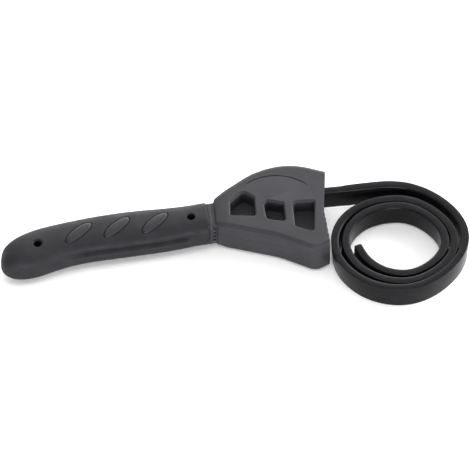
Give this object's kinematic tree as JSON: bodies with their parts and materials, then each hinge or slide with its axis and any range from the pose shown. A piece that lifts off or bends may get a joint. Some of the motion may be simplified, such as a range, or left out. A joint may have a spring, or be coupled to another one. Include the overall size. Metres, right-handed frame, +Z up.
{
  "type": "strap wrench",
  "caption": "Strap wrench for round filters: a moulded handle with a toothed jaw and a rubber grip, and a flat rubber strap pinned in the nose of the head, lying wound in a coil.",
  "frame": {"origin": "on the ground, under the middle of the box around the wrench without its strap", "axes": "+X from the grip's butt towards the jaw, which is the way the strap leaves; +Y from the toothed near half of the jaw towards the nose with the strap's pin; +Z up, across the flat sides, along the strap pin"},
  "size_m": [0.2832, 0.0919, 0.023],
  "materials": {
    "handle_plastic": "dark grey glass-filled plastic, finely spark-textured",
    "grip_rubber": "soft charcoal over-moulded rubber, matt",
    "inlay_plastic": "dark grey hard plastic, satin",
    "pin_steel": "plain turned steel",
    "strap_rubber": "black extruded rubber with a satin skin"
  },
  "bodies": {
    "wrench": {"handle_core": "handle_plastic", "grip_sleeve": "grip_rubber", "grip_inlay_upper_1": "inlay_plastic", "grip_inlay_upper_2": "inlay_plastic", "grip_inlay_upper_3": "inlay_plastic", "grip_inlay_lower_1": "inlay_plastic", "grip_inlay_lower_2": "inlay_plastic", "grip_inlay_lower_3": "inlay_plastic", "anchor_pin": "pin_steel"},
    "strap": {"strap_eye": "strap_rubber", "strap_run": "strap_rubber", "strap_coil": "strap_rubber"}
  },
  "joints": [
    {"name": "strap_swing", "type": "hinge", "parent": "wrench", "child": "strap", "pos_m": [0.08862, 0.0202, 0.0115], "axis": [0, 0, 1], "range_deg": [0, 20]}
  ]
}
